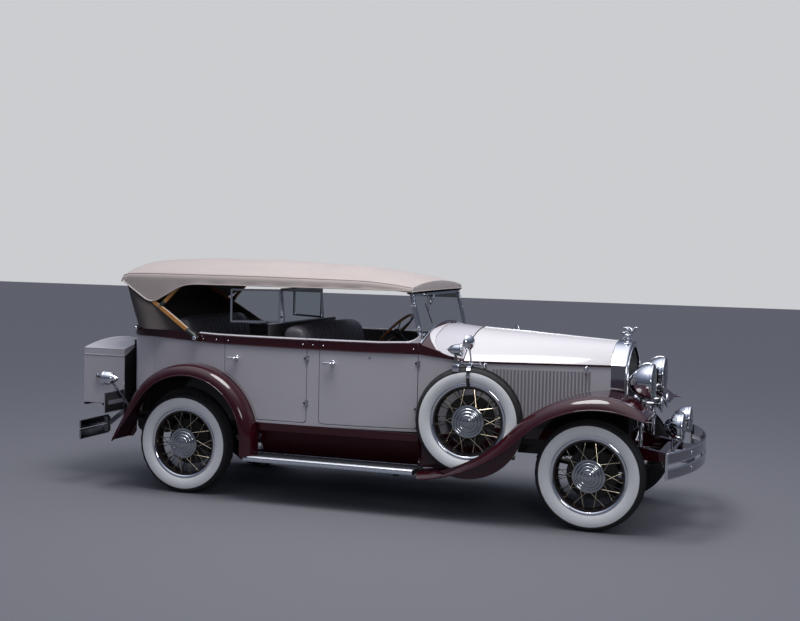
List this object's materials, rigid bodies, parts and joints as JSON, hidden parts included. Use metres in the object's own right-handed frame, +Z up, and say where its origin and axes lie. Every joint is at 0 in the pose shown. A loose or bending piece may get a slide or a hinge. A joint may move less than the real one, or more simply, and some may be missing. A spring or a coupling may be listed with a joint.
{
  "type": "four-door touring car",
  "caption": "Open touring car with wire wheels, folding cloth top, side-mounted spares, opening doors, hood panels and trunk lid, turning wheels and steering.",
  "frame": {"origin": "on the ground, at the centre of the whole length and width", "axes": "+X forwards, +Y to the left of the driver, +Z up"},
  "size_m": [5.3148, 1.83, 1.9499],
  "materials": {
    "cream_paint": "gloss",
    "maroon_paint": "gloss",
    "black_steel": "satin",
    "grey_iron": "matt",
    "dull_steel": "dull",
    "chrome": "polished",
    "radiator_core": "satin",
    "clear_glass": "clear",
    "grey_leather": "satin",
    "tan_canvas": "matt",
    "bow_wood": "varnished",
    "rim_wood": "varnished",
    "whitewall_tyre": "matt",
    "wheel_metal": "polished",
    "rubber_mat": "ribbed"
  },
  "bodies": {
    "chassis": {"belt_moulding": "maroon_paint", "body_tub": "cream_paint", "cowl": "cream_paint", "cowl_lamps": "chrome", "dashboard": "black_steel", "driving_lamps": "chrome", "engine_block": "grey_iron", "exhaust_pipe": "dull_steel", "frame_rails": "maroon_paint", "front_axle": "black_steel", "front_bumper": "chrome", "front_fenders": "maroon_paint", "front_seat": "grey_leather", "fuel_tank": "black_steel", "headlamps": "chrome", "hood_sides": "cream_paint", "leaf_springs": "black_steel", "luggage_rack": "black_steel", "radiator_core": "radiator_core", "radiator_shell": "chrome", "rear_axle": "black_steel", "rear_bumper": "chrome", "rear_fenders": "maroon_paint", "rear_seat": "grey_leather", "running_boards": "rubber_mat", "spare_mirrors": "chrome", "spare_tyres": "whitewall_tyre", "spare_wheels": "wheel_metal", "splash_aprons": "maroon_paint", "tail_lamps": "chrome", "top_bows": "bow_wood", "top_cloth": "tan_canvas", "trunk_box": "cream_paint", "windshield_frames": "chrome", "windshield_glass": "clear_glass"},
    "tie_rod": {"tie_rod": "black_steel"},
    "knuckle_left": {"knuckle_left": "black_steel"},
    "knuckle_right": {"knuckle_right": "black_steel"},
    "steering_wheel": {"steering_wheel": "rim_wood"},
    "hood_top_left": {"hood_top_left": "cream_paint"},
    "hood_top_right": {"hood_top_right": "cream_paint"},
    "trunk_lid": {"trunk_lid": "cream_paint"},
    "door_front_left": {"door_front_left": "cream_paint"},
    "door_front_right": {"door_front_right": "cream_paint"},
    "door_rear_left": {"door_rear_left": "cream_paint"},
    "door_rear_right": {"door_rear_right": "cream_paint"},
    "wheel_front_left": {"tyre_front_left": "whitewall_tyre", "wheel_front_left": "wheel_metal"},
    "wheel_front_right": {"tyre_front_right": "whitewall_tyre", "wheel_front_right": "wheel_metal"},
    "wheel_rear_left": {"tyre_rear_left": "whitewall_tyre", "wheel_rear_left": "wheel_metal"},
    "wheel_rear_right": {"tyre_rear_right": "whitewall_tyre", "wheel_rear_right": "wheel_metal"}
  },
  "joints": [
    {"name": "steer_left", "type": "hinge", "parent": "chassis", "child": "knuckle_left", "pos_m": [1.8945, 0.555, 0.4185], "axis": [0, 0, 1], "range_deg": [-30, 30]},
    {"name": "steer_right", "type": "hinge", "parent": "chassis", "child": "knuckle_right", "pos_m": [1.8945, -0.555, 0.4185], "axis": [0, 0, 1], "range_deg": [-30, 30]},
    {"name": "steering_wheel_turn", "type": "hinge", "parent": "chassis", "child": "steering_wheel", "pos_m": [-0.0475, 0.33, 1.358], "axis": [-0.7071, 0, 0.7071], "range_deg": [-450, 450]},
    {"name": "tie_rod_slide", "type": "slide", "parent": "chassis", "child": "tie_rod", "axis": [0, 1, 0], "range_m": [-0.079, 0.079]},
    {"name": "spin_front_left", "type": "hinge", "parent": "knuckle_left", "child": "wheel_front_left", "pos_m": [1.8945, 0.711, 0.4185], "axis": [0, 1, 0], "continuous": true},
    {"name": "spin_front_right", "type": "hinge", "parent": "knuckle_right", "child": "wheel_front_right", "pos_m": [1.8945, -0.711, 0.4185], "axis": [0, 1, 0], "continuous": true},
    {"name": "spin_rear_left", "type": "hinge", "parent": "chassis", "child": "wheel_rear_left", "pos_m": [-1.5095, 0.711, 0.4185], "axis": [0, 1, 0], "continuous": true},
    {"name": "spin_rear_right", "type": "hinge", "parent": "chassis", "child": "wheel_rear_right", "pos_m": [-1.5095, -0.711, 0.4185], "axis": [0, 1, 0], "continuous": true},
    {"name": "door_front_left_swing", "type": "hinge", "parent": "chassis", "child": "door_front_left", "pos_m": [0.506, 0.68371, 0.9], "axis": [0, 0, -1], "range_deg": [0, 65]},
    {"name": "door_front_right_swing", "type": "hinge", "parent": "chassis", "child": "door_front_right", "pos_m": [0.506, -0.68371, 0.9], "axis": [0, 0, 1], "range_deg": [0, 65]},
    {"name": "door_rear_left_swing", "type": "hinge", "parent": "chassis", "child": "door_rear_left", "pos_m": [-0.406, 0.77228, 0.9], "axis": [0, 0, -1], "range_deg": [0, 65]},
    {"name": "door_rear_right_swing", "type": "hinge", "parent": "chassis", "child": "door_rear_right", "pos_m": [-0.406, -0.77228, 0.9], "axis": [0, 0, 1], "range_deg": [0, 65]},
    {"name": "hood_left_lift", "type": "hinge", "parent": "chassis", "child": "hood_top_left", "pos_m": [0.8525, 0.009, 1.445], "axis": [0.9983, 0, -0.0585], "range_deg": [0, 75]},
    {"name": "hood_right_lift", "type": "hinge", "parent": "chassis", "child": "hood_top_right", "pos_m": [0.8525, -0.009, 1.445], "axis": [-0.9983, 0, 0.0585], "range_deg": [0, 75]},
    {"name": "trunk_lid_lift", "type": "hinge", "parent": "chassis", "child": "trunk_lid", "pos_m": [-2.2485, 0, 1.216], "axis": [0, 1, 0], "range_deg": [0, 75]}
  ],
  "couplings": [
    {"joint": "steer_right", "follows": "steer_left", "ratio": 1},
    {"joint": "steering_wheel_turn", "follows": "steer_left", "ratio": 15},
    {"joint": "tie_rod_slide", "follows": "steer_left", "m_per_rad": -0.15}
  ]
}
